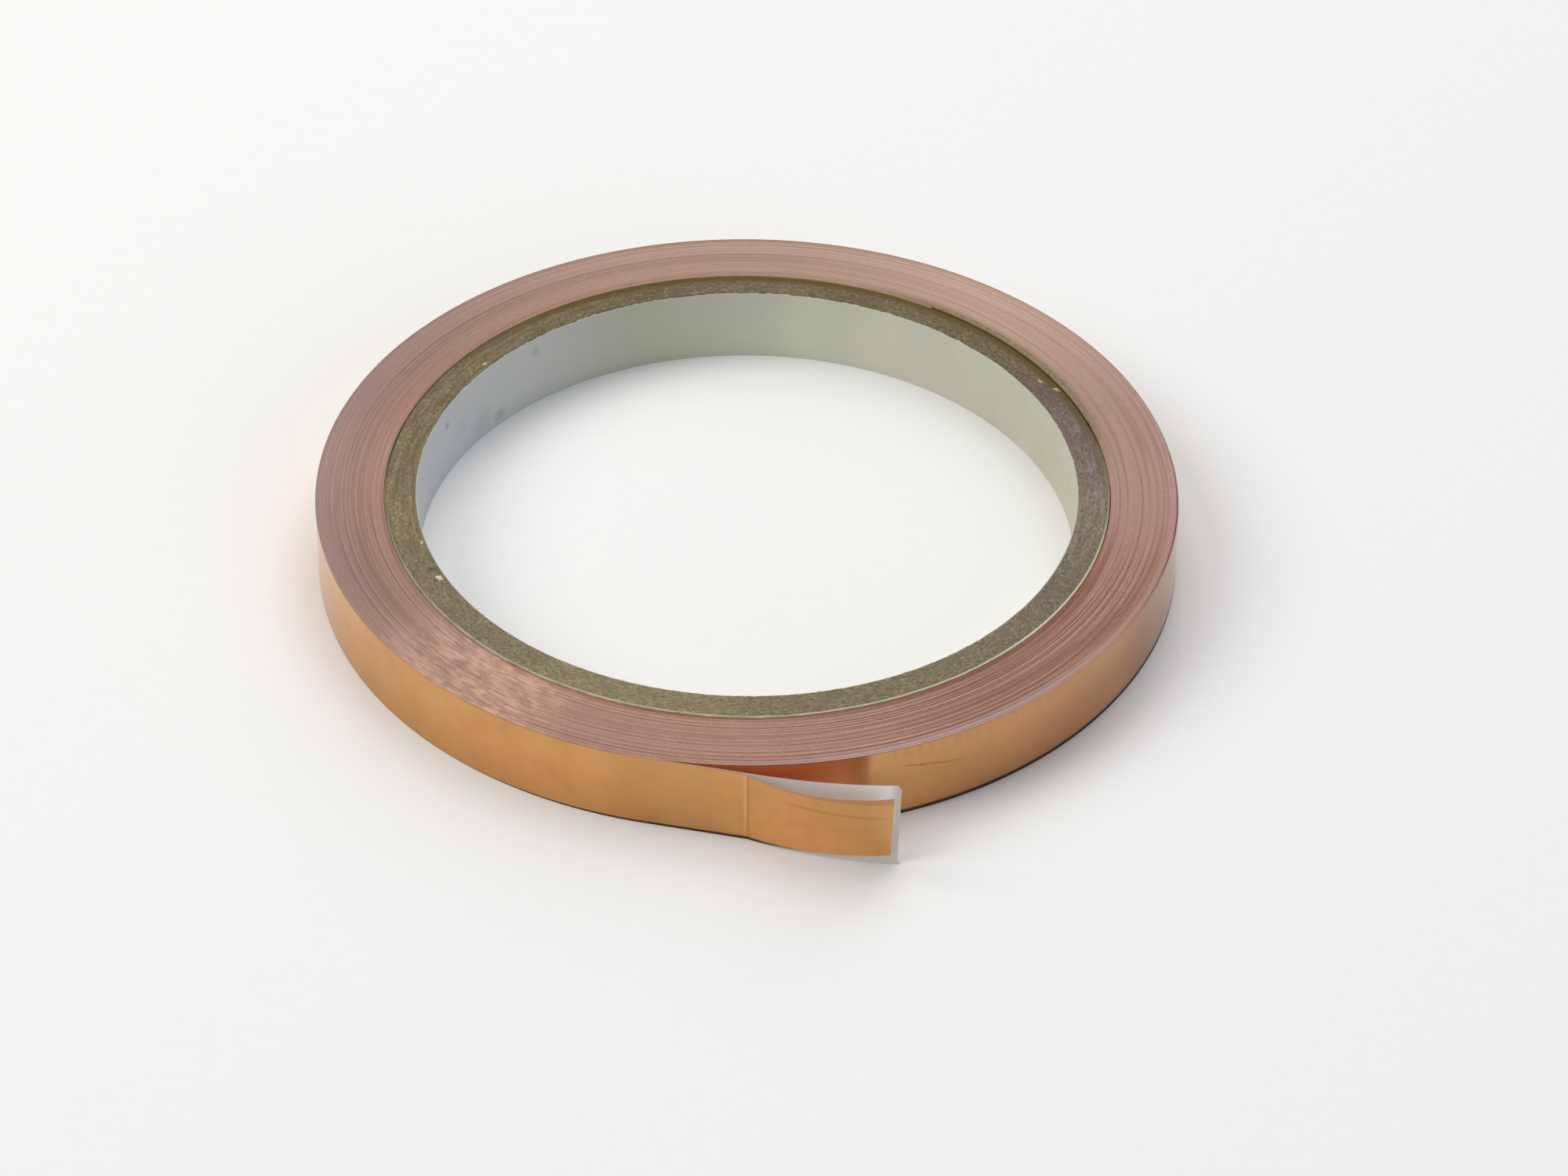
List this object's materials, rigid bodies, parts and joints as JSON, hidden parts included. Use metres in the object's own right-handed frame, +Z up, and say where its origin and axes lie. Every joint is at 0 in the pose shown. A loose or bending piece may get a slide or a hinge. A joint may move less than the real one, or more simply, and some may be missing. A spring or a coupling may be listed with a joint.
{
  "type": "copper foil tape roll",
  "caption": "Roll of narrow self-adhesive copper foil on a paper tube core, with its loose end lifted, creased and partly peeled off its white backing paper.",
  "frame": {"origin": "on the axis of the core's bore, in the plane of the roll's lower face, on which it rests", "axes": "+Z up along the bore's axis; the loose end leaves the roll on the -Y side and runs towards +X"},
  "size_m": [0.0994, 0.1049, 0.0103],
  "materials": {
    "core_lining_paper": "smooth white paper, slightly cream",
    "chipboard": "cut edge of grey-brown recycled board, fibrous",
    "core_wrap_paper": "matt white paper, cut edge",
    "release_liner": "smooth silicone-coated white backing paper",
    "adhesive": "clear acrylic film, tacky",
    "copper_foil": null
  },
  "bodies": {
    "roll": {"core_inner_paper": "core_lining_paper", "core_ply_1": "chipboard", "core_ply_2": "chipboard", "core_ply_3": "chipboard", "core_ply_4": "chipboard", "core_ply_5": "chipboard", "core_ply_6": "chipboard", "core_ply_7": "chipboard", "core_ply_8": "chipboard", "core_outer_wrap": "core_wrap_paper", "wound_liner": "release_liner", "wound_adhesive": "adhesive", "wound_foil": "copper_foil"},
    "tail": {"tail_liner": "release_liner", "tail_adhesive": "adhesive", "tail_foil": "copper_foil"},
    "tip": {"tip_adhesive": "adhesive", "tip_foil": "copper_foil"}
  },
  "joints": [
    {"name": "tail_lift", "type": "hinge", "parent": "roll", "child": "tail", "pos_m": [-0.01079, -0.04852, 0], "axis": [0, 0, -1], "range_deg": [0, 60]},
    {"name": "foil_peel", "type": "hinge", "parent": "tail", "child": "tip", "pos_m": [0.00024, -0.05099, 0], "axis": [0, 0, -1], "range_deg": [-4, 120]}
  ]
}
